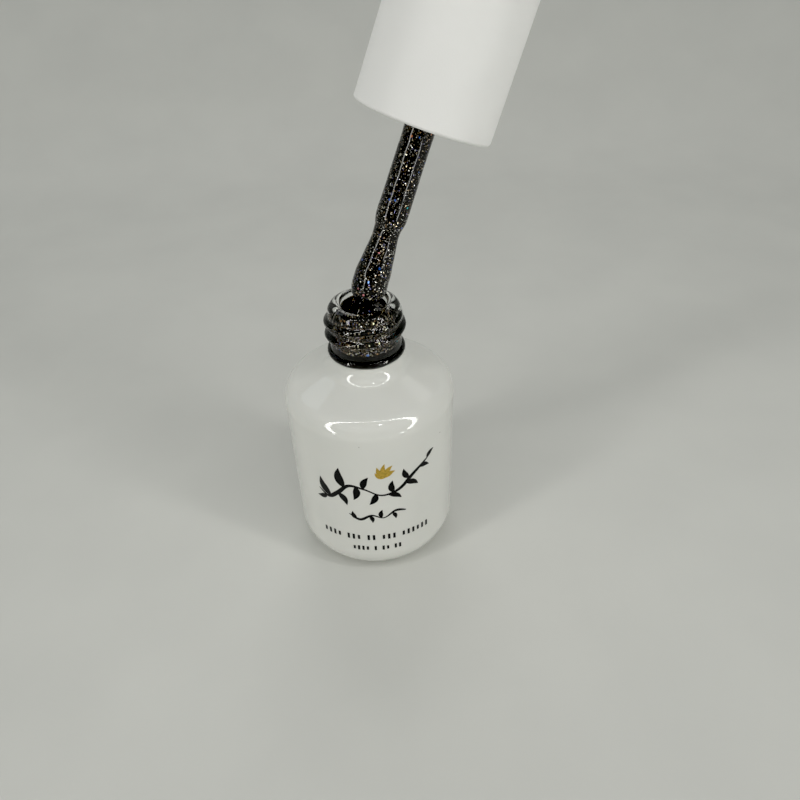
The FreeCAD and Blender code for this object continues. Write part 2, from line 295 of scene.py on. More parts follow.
class Nodes:
    """A short way to write a material's node tree. Pattern scales are in repeats a metre."""

    def __init__(self, name):
        self.material = bpy.data.materials.new(name)
        self.material.use_nodes = True
        self.tree = self.material.node_tree
        self.shader = self.tree.nodes["Principled BSDF"]
        self.place = self.add("ShaderNodeTexCoord").outputs["Object"]

    def add(self, kind, **values):
        node = self.tree.nodes.new(kind)
        for key, value in values.items():
            setattr(node, key, value)
        return node

    def link(self, source, target):
        self.tree.links.new(source, target)

    def set(self, **values):
        for key, value in values.items():
            self.shader.inputs[key.replace("_", " ")].default_value = value

    def put(self, socket, value):
        if isinstance(value, (int, float, tuple)):
            socket.default_value = value
        else:
            self.link(value, socket)

    def noise(self, scale, detail=3.0, roughness=0.5, vector=None):
        node = self.add("ShaderNodeTexNoise")
        node.inputs["Scale"].default_value = scale
        node.inputs["Detail"].default_value = detail
        node.inputs["Roughness"].default_value = roughness
        self.link(vector or self.place, node.inputs["Vector"])
        return node.outputs["Fac"]

    def voronoi(self, scale, vector=None):
        node = self.add("ShaderNodeTexVoronoi")
        node.inputs["Scale"].default_value = scale
        self.link(vector or self.place, node.inputs["Vector"])
        return node.outputs["Distance"], node.outputs["Color"]

    def math(self, operation, a, b=0.0, clamp=False):
        node = self.add("ShaderNodeMath", operation=operation, use_clamp=clamp)
        self.put(node.inputs[0], a)
        self.put(node.inputs[1], b)
        return node.outputs[0]

    def ramp(self, fac, stops, interpolation="LINEAR"):
        node = self.add("ShaderNodeValToRGB")
        node.color_ramp.interpolation = interpolation
        elements = node.color_ramp.elements
        while len(elements) < len(stops):
            elements.new(0.5)
        for element, (position, color) in zip(elements, stops):
            element.position = position
            element.color = (*color, 1.0)
        self.link(fac, node.inputs["Fac"])
        return node.outputs["Color"]

    def mix(self, fac, a, b):
        node = self.add("ShaderNodeMix", data_type="RGBA")
        self.put(node.inputs["Factor"], fac)
        for socket, value in ((node.inputs[6], a), (node.inputs[7], b)):
            self.put(socket, (*value, 1.0) if isinstance(value, tuple) else value)
        return node.outputs[2]

    def map_range(self, value, low, high, to_low, to_high):
        node = self.add("ShaderNodeMapRange")
        self.link(value, node.inputs["Value"])
        ends = {"From Min": low, "From Max": high, "To Min": to_low, "To Max": to_high}
        for key, number in ends.items():
            node.inputs[key].default_value = number
        return node.outputs["Result"]

    def bump(self, height, strength, distance):
        node = self.add("ShaderNodeBump")
        node.inputs["Strength"].default_value = strength
        node.inputs["Distance"].default_value = distance
        self.link(height, node.inputs["Height"])
        return node.outputs["Normal"]

    def channel(self, color, index):
        node = self.add("ShaderNodeSeparateColor")
        self.link(color, node.inputs["Color"])
        return node.outputs[index]

    def separate(self, vector, index):
        node = self.add("ShaderNodeSeparateXYZ")
        self.link(vector, node.inputs["Vector"])
        return node.outputs[index]

    def vector_math(self, operation, a, b=None, scale=None):
        node = self.add("ShaderNodeVectorMath", operation=operation)
        self.put(node.inputs[0], a)
        if b is not None:
            self.put(node.inputs[1], b)
        if scale is not None:
            self.put(node.inputs["Scale"], scale)
        return node.outputs["Vector"]


def lacquer_material():
    """Glossy white spray lacquer: faint orange peel, slight tone change and a few dust specks."""
    n = Nodes("white_lacquer")
    tone = n.noise(90.0, 2.0)
    color = n.ramp(tone, [(0.3, (0.735, 0.742, 0.705)), (0.7, (0.76, 0.765, 0.728))])
    distance, random_color = n.voronoi(420.0)
    near = n.math("LESS_THAN", distance, 0.05)
    chosen = n.math("GREATER_THAN", n.channel(random_color, 0), 0.975)
    speck = n.math("MULTIPLY", near, chosen)
    n.link(n.mix(speck, color, (0.12, 0.11, 0.10)), n.shader.inputs["Base Color"])
    peel = n.noise(700.0, 2.0)
    wave = n.noise(160.0, 1.0)
    height = n.math("ADD", n.math("MULTIPLY", peel, 0.25), wave)
    n.link(n.bump(height, 0.05, 0.0002), n.shader.inputs["Normal"])
    n.link(n.map_range(peel, 0.3, 0.7, 0.05, 0.09), n.shader.inputs["Roughness"])
    n.set(IOR=1.5, Coat_Weight=0.6, Coat_Roughness=0.03, Subsurface_Weight=0.05)
    n.shader.inputs["Subsurface Radius"].default_value = (0.0006, 0.0005, 0.0004)
    return n.material


def glass_material():
    """Clear flint glass with the faint ripple of a moulded neck."""
    n = Nodes("clear_glass")
    ripple = n.noise(240.0, 1.0)
    n.link(n.bump(ripple, 0.012, 0.0002), n.shader.inputs["Normal"])
    n.link(n.map_range(ripple, 0.0, 1.0, 0.0, 0.02), n.shader.inputs["Roughness"])
    color = n.ramp(ripple, [(0.0, (0.97, 0.985, 0.98)), (1.0, (1.0, 1.0, 1.0))])
    n.link(color, n.shader.inputs["Base Color"])
    n.set(IOR=1.52, Transmission_Weight=1.0)
    return n.material


def glitter_material(name, share, base, brightness, in_neck=False):
    """Near-black gel full of fine metallic glitter, with some larger holographic flakes.

    share is how many of the small cells hold a flake, and brightness scales the flakes' colours. In the
    neck, shade is painted into the gel: its flakes are hidden below the collar and in a band that winds
    along with the screw thread, standing in for the dark that the collar and the thread show. The neck's
    gel has no gloss of its own, because it wets the glass.
    """
    n = Nodes(name)
    warp = n.add("ShaderNodeTexNoise")
    warp.inputs["Scale"].default_value = 2500.0
    n.link(n.place, warp.inputs["Vector"])
    push = n.vector_math("SUBTRACT", warp.outputs["Color"], (0.5, 0.5, 0.5))
    moved = n.vector_math("ADD", n.place, n.vector_math("SCALE", push, scale=0.00022))
    # In the neck the flakes are masked out where shade is painted, along the thread and below the collar.
    outside_painted_shade = painted_thread_shade(n) if in_neck else 1.0
    fine, fine_random = flakes(n, moved, 5000.0, share, 0.25, 0.62, outside_painted_shade)
    large, large_random = flakes(n, moved, 1050.0, 0.22, 0.12, 0.26, outside_painted_shade)

    tint = (1.12, 1.0, 0.80) if in_neck else (1.0, 1.0, 1.0)
    fine_color = n.ramp(n.channel(fine_random, 2), [
        (start, tuple(min(1.0, brightness * t * c) for t, c in zip(tint, color)))
        for start, color in (
            (0.00, (0.020, 0.019, 0.017)),
            (0.28, (0.09, 0.075, 0.055)),
            (0.46, (0.18, 0.17, 0.155)),
            (0.60, (0.38, 0.26, 0.15)),
            (0.70, (0.50, 0.49, 0.45)),
            (0.80, (0.26, 0.25, 0.48)),
            (0.85, (0.90, 0.76, 0.52)),
            (0.92, (1.0, 1.0, 0.94)),
        )
    ], "CONSTANT")
    large_color = n.ramp(n.channel(large_random, 2), [
        (0.00, (0.05, 0.18, 0.75)),
        (0.22, (0.80, 0.30, 0.12)),
        (0.40, (0.10, 0.75, 0.80)),
        (0.55, (0.85, 0.32, 0.36)),
        (0.70, (0.90, 0.86, 0.70)),
        (0.86, (0.24, 0.42, 0.95)),
    ], "CONSTANT")
    color = n.mix(large, n.mix(fine, base, fine_color), large_color)
    n.link(color, n.shader.inputs["Base Color"])

    flake = n.math("MAXIMUM", fine, large)
    n.link(n.math("MULTIPLY", flake, 0.9), n.shader.inputs["Metallic"])
    n.link(n.map_range(flake, 0.0, 1.0, 0.5, 0.30), n.shader.inputs["Roughness"])
    lean = n.vector_math("SUBTRACT", n.mix(large, fine_random, large_random), (0.5, 0.5, 0.5))
    lean = n.vector_math("SCALE", lean, scale=flake)
    facing = n.add("ShaderNodeNewGeometry").outputs["Normal"]
    tilted = n.vector_math("NORMALIZE", n.vector_math("ADD", facing, lean))
    n.link(tilted, n.shader.inputs["Normal"])
    if in_neck:
        n.set(IOR=1.45, Specular_IOR_Level=0.0)
    else:
        n.set(IOR=1.45, Specular_IOR_Level=0.1, Coat_Weight=0.7, Coat_Roughness=0.02, Coat_IOR=1.5)
    return n.material


def flakes(n, place, scale, share, smallest, largest, outside_painted_shade):
    """1 on the flakes of one size outside the painted shade, and the random colour of each cell that may
    hold one.
    """
    distance, random_color = n.voronoi(scale, place)
    chosen = n.math("LESS_THAN", n.channel(random_color, 0), share)
    size = n.map_range(n.channel(random_color, 1), 0.0, 1.0, smallest, largest)
    flake = n.math("MULTIPLY", chosen, n.math("LESS_THAN", distance, size))
    return n.math("MULTIPLY", flake, outside_painted_shade), random_color


def painted_thread_shade(n):
    """1 where the neck's gel shows its flakes, 0 where shade is painted: below the collar and behind each
    turn of the thread.
    """
    x, y, z = (n.separate(n.place, index) for index in range(3))
    turns = n.math("DIVIDE", n.math("ARCTAN2", y, x), math.tau)
    climb = n.math("DIVIDE", n.math("SUBTRACT", z, THREAD_START), THREAD_PITCH)
    phase = n.math("FRACT", n.math("ADD", n.math("SUBTRACT", climb, turns), 4.0))
    wander = n.math("MULTIPLY", n.math("SUBTRACT", n.noise(900.0), 0.5), 0.12)
    away = n.math("ABSOLUTE", n.math("ADD", n.math("SUBTRACT", phase, PAINTED_SHADE_PHASE), wander))
    # Painted shade: no flakes in the band along the thread or below the collar.
    clear_of_painted_shade = n.math("GREATER_THAN", away, PAINTED_SHADE_HALF)
    clear_of_painted_collar_shade = n.math("GREATER_THAN", z, COLLAR_HEIGHT + PAINTED_SHADE_ABOVE_COLLAR)
    return n.math("MULTIPLY", clear_of_painted_shade, clear_of_painted_collar_shade)


def plastic_material(name, color, roughness, grain_scale, grain):
    """Moulded plastic with a fine grain and a slight change of tone."""
    n = Nodes(name)
    tone = n.noise(60.0, 2.0)
    low = tuple(0.96 * c for c in color)
    n.link(n.ramp(tone, [(0.3, low), (0.7, color)]), n.shader.inputs["Base Color"])
    fine = n.noise(grain_scale, 4.0, 0.6)
    n.link(n.bump(fine, grain, 0.00005), n.shader.inputs["Normal"])
    n.link(n.map_range(fine, 0.3, 0.7, roughness - 0.05, roughness + 0.05), n.shader.inputs["Roughness"])
    n.set(IOR=1.48)
    return n.material


def steel_material():
    """Drawn steel wire."""
    n = Nodes("staple_wire")
    streak = n.noise(3000.0, 3.0)
    color = n.ramp(streak, [(0.3, (0.55, 0.55, 0.56)), (0.7, (0.72, 0.72, 0.74))])
    n.link(color, n.shader.inputs["Base Color"])
    n.link(n.map_range(streak, 0.3, 0.7, 0.25, 0.4), n.shader.inputs["Roughness"])
    n.set(Metallic=1.0)
    return n.material


def ink_material(name, color, roughness, metallic):
    """Screen-printed ink with a slightly uneven film."""
    n = Nodes(name)
    film = n.noise(2600.0, 3.0)
    light = tuple(min(1.0, 1.5 * c + 0.004) for c in color)
    n.link(n.ramp(film, [(0.35, color), (0.75, light)]), n.shader.inputs["Base Color"])
    n.link(n.map_range(film, 0.3, 0.7, roughness, roughness + 0.12), n.shader.inputs["Roughness"])
    n.link(n.bump(film, 0.2, 0.00001), n.shader.inputs["Normal"])
    n.set(Metallic=metallic, Specular_IOR_Level=0.2)
    return n.material


LACQUER = lacquer_material()
GLASS = glass_material()
GEL = glitter_material("glitter_gel", 0.66, (0.0012, 0.0012, 0.0012), 0.9)
# The neck's film is the same gel, given a lighter base and brighter flakes: painted light for the thin film
# seen through the glass.
GEL_FILM = glitter_material("glitter_gel_film", 0.88, (0.008, 0.0078, 0.007), 1.55, in_neck=True)
CAP = plastic_material("matte_white_cap", (0.89, 0.89, 0.875), 0.55, 5200.0, 0.35)
INNER_CAP = plastic_material("inner_cap_plastic", (0.80, 0.80, 0.78), 0.42, 2500.0, 0.15)
LINER = plastic_material("liner_foam", (0.85, 0.85, 0.82), 0.8, 4200.0, 0.9)
STEM = plastic_material("stem_plastic", (0.02, 0.02, 0.021), 0.35, 2000.0, 0.1)
BRISTLE = plastic_material("nylon_bristle", (0.07, 0.055, 0.045), 0.35, 6000.0, 0.1)
STEEL = steel_material()
BLACK_INK = ink_material("black_ink", (0.008, 0.008, 0.009), 0.30, 0.0)
GOLD_INK = ink_material("gold_ink", (0.52, 0.36, 0.08), 0.32, 0.8)


# ---------------------------------------------------------------- bottle outlines

def shoulder_height(r, inset=0.0):
    """Height of the sloping shoulder at radius r, on a surface lying inset inside the outside one."""
    corner_height = WALL_TOP + SHOULDER_CORNER * math.tan((math.pi / 2 - SHOULDER_SLOPE) / 2)
    return corner_height + (BODY_RADIUS - r) * math.tan(SHOULDER_SLOPE) - inset / math.cos(SHOULDER_SLOPE)


def coat_side(inset):
    """Corners of a surface that follows the outside of the coating at a constant depth."""
    wall = BODY_RADIUS - inset
    neck = NECK_BASE_RADIUS - inset
    return [
        (wall, inset, FOOT_CORNER - inset),
        (wall, shoulder_height(wall, inset), SHOULDER_CORNER - inset),
        (neck, shoulder_height(neck, inset), NECK_BASE_FILLET + inset),
    ]


def cavity_side(grow):
    """Corners of the inside of the glass, moved outward by grow."""
    wall = BODY_RADIUS - WALL_DEPTH + grow
    bore = BORE_RADIUS + grow
    inset = WALL_DEPTH - grow
    return [
        (wall, FLOOR_TOP - grow, INNER_CORNER),
        (wall, shoulder_height(wall, inset), INNER_SHOULDER_CORNER),
        (bore, shoulder_height(bore, inset), INNER_NECK_FILLET),
    ]


def thread_shift(angle, r, z):
    """Raises the right-hand screw thread out of the neck."""
    top = LIP_TOP - LIP_OUTER_ROUND + THREAD_RUNS_OVER
    if r < NECK_RADIUS - 0.01 * MM or z < COLLAR_HEIGHT or z > top:
        return r, z
    rise = 0.0
    for whole in range(-1, 4):
        turns = whole + angle / math.tau
        if 0 <= turns <= THREAD_TURNS:
            away = abs(z - THREAD_START - THREAD_PITCH * turns) / THREAD_HALF_WIDTH
            if away < 1:
                from_end = min(turns, THREAD_TURNS - turns)
                growth = min(1.0, from_end / THREAD_TAPER_TURNS)
                growth = growth * growth * (3 - 2 * growth)
                rise = max(rise, THREAD_DEPTH * growth * (1 - away * away) ** 1.5)
    return r + rise, z


# ---------------------------------------------------------------- bottle pieces

def make_glass():
    """The clear glass, as one closed skin round the outside, over the lip and round the cavity."""
    inset = COATING_THICKNESS + COATING_GAP
    push_up = [
        (PUSH_UP_RADIUS * k / PUSH_UP_STEPS, PUSH_UP_HEIGHT * (1 - (k / PUSH_UP_STEPS) ** 2))
        for k in range(PUSH_UP_STEPS)
    ]
    low = rounded([
        (PUSH_UP_RADIUS, 0, 0),
        (FOOT_RADIUS, 0, 0),
        (FOOT_RADIUS, inset, 0),
        *coat_side(inset),
        (NECK_BASE_RADIUS - inset, COLLAR_HEIGHT - 0.9 * COLLAR_BEAD, 0),
    ])
    collar = []
    for k in range(COLLAR_STEPS + 1):
        angle = COLLAR_FIRST_ANGLE + (COLLAR_LAST_ANGLE - COLLAR_FIRST_ANGLE) * k / COLLAR_STEPS
        r = COLLAR_RADIUS - COLLAR_BEAD + COLLAR_BEAD * math.cos(angle)
        collar.append((r, COLLAR_HEIGHT + COLLAR_BEAD * math.sin(angle)))
    neck = filled_in([
        (NECK_RADIUS, COLLAR_HEIGHT + 1.05 * COLLAR_BEAD),
        (NECK_RADIUS, LIP_TOP - LIP_OUTER_ROUND),
    ], THREAD_ROW)
    lip = rounded([
        (NECK_RADIUS, LIP_TOP - 2 * LIP_OUTER_ROUND, 0),
        (NECK_RADIUS, LIP_TOP, LIP_OUTER_ROUND),
        (BORE_RADIUS, LIP_TOP, LIP_INNER_ROUND),
        *reversed(cavity_side(0.0)),
        (0, FLOOR_TOP, 0),
    ])[2:]
    piece = lathe("bottle_glass", push_up + low + collar + neck + lip, GLASS, shift=thread_shift)
    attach(piece, "bottle")
    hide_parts("glass_bottle")


def make_lacquer():
    """The lacquer shell, with a top edge that isn't quite level."""
    def uneven_edge(angle, r, z):
        if z < COATING_TOP - 0.2 * MM:
            return r, z
        spot = Vector((2.2 * math.cos(angle), 2.2 * math.sin(angle), 0))
        return r, z + COATING_EDGE_WANDER * noise.noise(spot)

    step = math.radians(3)
    outer = rounded([(COATING_START, 0, 0), *coat_side(0.0), (NECK_BASE_RADIUS, COATING_TOP, 0)], step)
    inner = rounded([
        (NECK_BASE_RADIUS - COATING_THICKNESS, COATING_TOP, 0),
        *reversed(coat_side(COATING_THICKNESS)),
        (COATING_START, COATING_THICKNESS, 0),
    ], step)
    profile = filled_in(outer, PROFILE_ROW) + filled_in(inner, PROFILE_ROW)
    piece = lathe("lacquer_shell", profile, LACQUER, shift=uneven_edge)
    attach(piece, "bottle")
    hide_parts("white_coating")


def make_pool():
    """Gel in the body, touching the glass, with a small meniscus at the wall."""
    wall = BODY_RADIUS - WALL_DEPTH + CONTACT
    side = rounded([
        (0, FLOOR_TOP - CONTACT, 0),
        (wall, FLOOR_TOP - CONTACT, INNER_CORNER),
        (wall, GEL_LEVEL, 0),
    ])
    top = [(wall - inward * MM, GEL_LEVEL - sink * MM) for inward, sink in MENISCUS]
    piece = lathe("gel_pool", side + top + [(0, top[-1][1])], GEL)
    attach(piece, "bottle")
    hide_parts("gel_polish")


def make_lining():
    """Gel lining the bore of the neck, thicker towards the side that the brush leans to."""
    heading = math.atan2(BRUSH_AXIS.y, BRUSH_AXIS.x)

    def uneven(angle, r, z):
        around = Vector((1.6 * math.cos(angle), 1.6 * math.sin(angle), z / FILM_LUMP_PITCH))
        lump = noise.noise(around)
        if r > BORE_RADIUS:
            top_share = max(0.0, (z - FILM_TOP + 1.0 * MM) / MM)
            return r, z + top_share * FILM_EDGE_WANDER * lump
        leaning = 0.5 + 0.5 * math.cos(angle - heading)
        return r - FILM_LUMP * lump - FILM_EXTRA * leaning ** 2, z + 0.2 * MM * lump

    outer = BORE_RADIUS + CONTACT
    inner = BORE_RADIUS - FILM_DEPTH
    top = FILM_TOP + FILM_RISE
    profile = [
        (outer, FILM_BOTTOM), (outer, top), (outer - 0.05 * MM, top + 0.25 * MM),
        (inner + 0.1 * MM, top + 0.2 * MM), (inner, top - 0.3 * MM), (inner, FILM_BOTTOM),
    ]
    piece = lathe("gel_lining", filled_in(profile, FILM_ROW), GEL_FILM, shift=uneven)
    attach(piece, "bottle")
    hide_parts("neck_gel_film")


# ---------------------------------------------------------------- gel on the brush

brush_lean = Vector((0, 0, 1)).rotation_difference(BRUSH_AXIS).to_matrix().to_4x4()
brush_place = Matrix.Translation(MOUTH) @ brush_lean


def gel_radius(height):
    """Radius of the gel at a height above the mouth, along the brush."""
    return smooth_value([(h * MM, r * MM) for h, r in GEL_OUTLINE], height)


def gel_ring(height, radius, lumps):
    """Points round the brush at a height above the mouth, with the soft lumps of thick gel."""
    ring = []
    for k in range(GEL_POINTS):
        angle = math.tau * k / GEL_POINTS
        spot = Vector((math.cos(angle), math.sin(angle), height / GEL_LUMP_PITCH))
        reach = radius * (1 + lumps * noise.noise(spot * 1.3))
        ring.append(brush_place @ Vector((reach * math.cos(angle), reach * math.sin(angle), height)))
    return ring


def skin(rings, first_cap, last_cap):
    """Faces joining rings of equal count, with an end point at either end where one is wanted."""
    count = len(rings[0])
    verts = [p for ring in rings for p in ring]
    faces = []
    for i in range(len(rings) - 1):
        for k in range(count):
            n = (k + 1) % count
            faces.append([i * count + k, i * count + n, (i + 1) * count + n, (i + 1) * count + k])
    for cap_point, row, turn_over in ((first_cap, 0, True), (last_cap, len(rings) - 1, False)):
        if cap_point is not None:
            tip = len(verts)
            verts.append(cap_point)
            for k in range(count):
                n = (k + 1) % count
                face = [row * count + k, row * count + n, tip]
                faces.append(face[::-1] if turn_over else face)
    return verts, faces


def make_tuft_gel():
    """The drop of gel on the bristles. Its rows lie closer together towards the tip."""
    low = GEL_OUTLINE[0][0] * MM
    high = STEM_END + TUFT_OVERLAP
    rings = []
    for k in range(1, TUFT_ROWS + 1):
        height = low + (high - low) * (k / TUFT_ROWS) ** TUFT_CROWDING
        fade = min(1.0, (STEM_END - height) / GEL_FADE) if height < STEM_END else 0.0
        rings.append(gel_ring(height, gel_radius(height), TUFT_LUMPS * fade))
    top = brush_place @ Vector((0, 0, high))
    bottom = brush_place @ Vector((0, 0, low))
    verts, faces = skin(rings, bottom, top)
    piece = new_object("tuft_gel", verts, faces, GEL, GEL_SHARP)
    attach(piece, "brush_cap")
    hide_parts("brush_gel_bead")


def make_stem_gel():
    """The sleeve of gel along the stem."""
    high = GEL_OUTLINE[-1][0] * MM
    rings = [gel_ring(STEM_END, STEM_BORE, 0.0)]
    for k in range(STEM_ROWS + 1):
        height = STEM_END + (high - STEM_END) * k / STEM_ROWS
        fade = min(1.0, (height - STEM_END) / GEL_FADE)
        rings.append(gel_ring(height, gel_radius(height), STEM_LUMPS * fade))
    rings.append(gel_ring(high + 0.2 * MM, 0.5 * (STEM_BORE + gel_radius(high)), 0.0))
    rings.append(gel_ring(high, STEM_BORE, 0.0))
    verts, faces = skin(rings, None, None)
    last = (len(rings) - 1) * GEL_POINTS
    for k in range(GEL_POINTS):
        n = (k + 1) % GEL_POINTS
        faces.append([last + k, last + n, n, k])
    piece = new_object("stem_gel", verts, faces, GEL, GEL_SHARP)
    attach(piece, "stem_gel")
    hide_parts("stem_gel_coat")


def make_strand():
    """Thick gel from under the brush's tip to the inside of the lip."""
    outward = Vector((math.cos(STRAND_HEADING), math.sin(STRAND_HEADING), 0))
    wall = outward * (BORE_RADIUS - STRAND_OFF_WALL) + Vector((0, 0, DRIP_BOTTOM + STRAND_RISE))
    start = MOUTH + BRUSH_AXIS * 1.0 * MM + Vector((0.6, -0.5, 0)) * MM
    along = (wall - start).normalized()
    side = along.cross(Vector((0, 0, 1))).normalized()
    up = side.cross(along)
    limit = BORE_RADIUS - CONTACT
    rings = []
    for k in range(STRAND_ROWS + 1):
        t = k / STRAND_ROWS
        centre = start.lerp(wall, t) - Vector((0, 0, STRAND_SAG * math.sin(math.pi * t)))
        spread = STRAND_RADIUS + STRAND_WIDENING * t
        rounding = math.sqrt(max(0.0, 1 - abs(2 * t - 1) ** 5)) * 0.92 + 0.04
        ring = []
        for j in range(STRAND_POINTS):
            angle = math.tau * j / STRAND_POINTS
            wave = Vector((1.5 * math.cos(angle), 1.5 * math.sin(angle), 3 * t))
            reach = spread * rounding * (1 + STRAND_LUMPS * noise.noise(wave))
            spot = centre + side * reach * math.cos(angle) + up * STRAND_FLATNESS * reach * math.sin(angle)
            off_axis = math.hypot(spot.x, spot.y)
            if off_axis > limit:
                spot.x *= limit / off_axis
                spot.y *= limit / off_axis
            ring.append(spot)
        rings.append(ring)
    verts, faces = skin(rings, start, wall)
    # The rings run clockwise about the strand, so the faces are turned over.
    faces = [face[::-1] for face in faces]
    piece = new_object("gel_strand", verts, faces, GEL, GEL_SHARP)
    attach(piece, "mouth_gel")
    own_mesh(piece)
    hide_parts("gel_drip")


# ---------------------------------------------------------------- print on the front

PRINT_TURN = math.radians(-92)
INK_LIFT = 0.012 * MM
INK_TOP = 0.032 * MM


def on_wall(across, height, lift):
    """A point of the print: across is the distance round the wall from the print's centre."""
    angle = PRINT_TURN + across / BODY_RADIUS
    r = BODY_RADIUS + lift
    return (r * math.cos(angle), r * math.sin(angle), height)


def add_stroke(verts, faces, path, widths):
    """Adds a closed ribbon of ink along a path of (across, height) points, with a width at each point."""
    first = len(verts)
    for i, (x, z) in enumerate(path):
        xa, za = path[max(i - 1, 0)]
        xb, zb = path[min(i + 1, len(path) - 1)]
        length = math.hypot(xb - xa, zb - za)
        nx = -(zb - za) / length
        nz = (xb - xa) / length
        half = widths[i] / 2
        for side, lift in ((1, INK_TOP), (-1, INK_TOP), (-1, INK_LIFT), (1, INK_LIFT)):
            verts.append(on_wall(x + side * half * nx, z + side * half * nz, lift))
    count = len(path)
    for i in range(count - 1):
        a = first + 4 * i
        for k in range(4):
            n = (k + 1) % 4
            faces.append([a + k, a + n, a + 4 + n, a + 4 + k])
    end = first + 4 * (count - 1)
    faces.append([first + 3, first + 2, first + 1, first])
    faces.append([end, end + 1, end + 2, end + 3])


def curve_points(controls, count):
    """A smooth path through (across, height) control points, in millimetres, as points in metres."""
    points = []
    spans = len(controls) - 1
    for k in range(count + 1):
        t = spans * k / count
        i = min(int(t), spans - 1)
        u = t - i
        p0 = Vector(controls[max(i - 1, 0)])
        p1 = Vector(controls[i])
        p2 = Vector(controls[i + 1])
        p3 = Vector(controls[min(i + 2, spans)])
        square = 2 * p0 - 5 * p1 + 4 * p2 - p3
        cube = 3 * p1 - p0 - 3 * p2 + p3
        p = 0.5 * (2 * p1 + (p2 - p0) * u + square * u * u + cube * u ** 3)
        points.append((p.x * MM, p.y * MM))
    return points


def add_vine(verts, faces, controls, thick, thin):
    """A pen stroke that swells in its middle stretches, like a drawn tendril."""
    count = 14 * (len(controls) - 1)
    path = curve_points(controls, count)
    widths = []
    for k in range(count + 1):
        t = k / count
        pressure = 0.5 + 0.5 * math.sin(math.tau * 1.5 * t - 0.6)
        taper = min(1.0, 6 * t, 6 * (1 - t)) ** 0.7
        widths.append((thin + (thick - thin) * pressure) * (0.25 + 0.75 * taper) * MM)
    add_stroke(verts, faces, path, widths)


def add_leaf(verts, faces, x, z, direction, length, width):
    """A pointed leaf that starts at (x, z) and points along direction, in degrees."""
    angle = math.radians(direction)
    count = 14
    path = []
    widths = []
    for k in range(count + 1):
        t = k / count
        bend = 0.12 * length * math.sin(math.pi * t)
        path.append((
            (x + length * t * math.cos(angle) - bend * math.sin(angle)) * MM,
            (z + length * t * math.sin(angle) + bend * math.cos(angle)) * MM,
        ))
        widths.append((width * math.sin(math.pi * t ** 0.8) + 0.03) * MM)
    add_stroke(verts, faces, path, widths)


def add_ticks(verts, faces, height, words, tick, pitch, gap):
    """A row of plain upright ticks in groups, where small print would be."""
    total = sum(words) * pitch + (len(words) - 1) * gap - (pitch - tick[0])
    x = -total / 2 + tick[0] / 2
    number = 0
    for count in words:
        for _ in range(count):
            tall = tick[1] * (1.0 if number % 3 else 0.8)
            path = [(x * MM, (height + share * tall) * MM) for share in (-0.5, 0.0, 0.5)]
            add_stroke(verts, faces, path, [tick[0] * MM] * 3)
            x += pitch
            number += 1
        x += gap


def finish_print(name, verts, faces, material):
    """Makes one printed piece of the ribbons gathered so far."""
    piece = new_object(name, verts, faces, material)
    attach(piece, "bottle")


def make_print():
    """A leafy sprig with a gold bud, and two rows of plain ticks under it."""
    verts, faces = [], []
    stem = [
        (-10.6, 21.6), (-8.6, 20.4), (-6.6, 22.0), (-4.4, 24.2), (-1.6, 23.6),
        (1.4, 22.0), (4.6, 22.8), (7.4, 25.4), (10.6, 27.6),
    ]
    tendril = [(-4.8, 17.2), (-2.8, 15.9), (-0.6, 17.0), (1.6, 16.2), (3.8, 17.6), (5.8, 17.1)]
    # Each leaf is its foot's place, its direction in degrees, its length and its width.
    leaves = [
        (-9.0, 20.5, 205, 2.4, 1.0), (-8.0, 20.7, 118, 4.4, 1.6), (-6.6, 22.0, 300, 3.2, 1.25),
        (-5.2, 23.6, 100, 4.6, 1.7), (-3.2, 24.2, 262, 3.4, 1.3), (-1.8, 23.7, 70, 3.0, 1.2),
        (0.4, 22.5, 245, 3.0, 1.2), (2.6, 22.0, 330, 2.8, 1.1), (3.6, 22.3, 92, 2.9, 1.15),
        (5.8, 24.0, 330, 3.0, 1.15), (6.6, 24.8, 112, 2.7, 1.05), (8.6, 26.4, 345, 2.4, 0.95),
        (10.4, 27.5, 40, 2.2, 0.85),
    ]
    small_leaves = [
        (-3.4, 16.0, 110, 2.0, 0.85), (-1.0, 16.9, 285, 1.9, 0.8),
        (1.2, 16.3, 85, 2.0, 0.85), (3.2, 17.2, 290, 1.8, 0.75),
    ]
    add_vine(verts, faces, stem, 0.85, 0.30)
    for leaf in leaves:
        add_leaf(verts, faces, *leaf)
    add_vine(verts, faces, tendril, 0.6, 0.22)
    for leaf in small_leaves:
        add_leaf(verts, faces, *leaf)
    finish_print("print_sprig", verts, faces, BLACK_INK)

    verts, faces = [], []
    for direction, length in ((35, 2.2), (62, 2.9), (90, 3.2), (118, 2.9), (145, 2.2)):
        add_leaf(verts, faces, 2.2, 26.2, direction, length, 0.95)
    finish_print("print_gold_bud", verts, faces, GOLD_INK)

    verts, faces = [], []
    add_ticks(verts, faces, 11.0, (4, 3, 2, 3, 6), (0.45, 1.35), 1.0, 0.85)
    add_ticks(verts, faces, 8.0, (4, 1, 2, 2), (0.42, 1.15), 0.85, 0.65)
    finish_print("print_ticks", verts, faces, BLACK_INK)


# ---------------------------------------------------------------- pieces that keep their CAD shape

def paint_cad_nodes():
    """Gives the pieces whose CAD shape is right their finished materials."""
    finishes = {
        "overcap": CAP,
        "inner_cap": INNER_CAP,
        "sealing_liner": LINER,
        "brush_stem": STEM,
        "bristle_staple": STEEL,
        "brush_bristles": BRISTLE,
    }
    for node, material in finishes.items():
        mesh = frame["nodes"][node].data
        mesh.materials.clear()
        mesh.materials.append(material)


# ---------------------------------------------------------------- room, light and camera

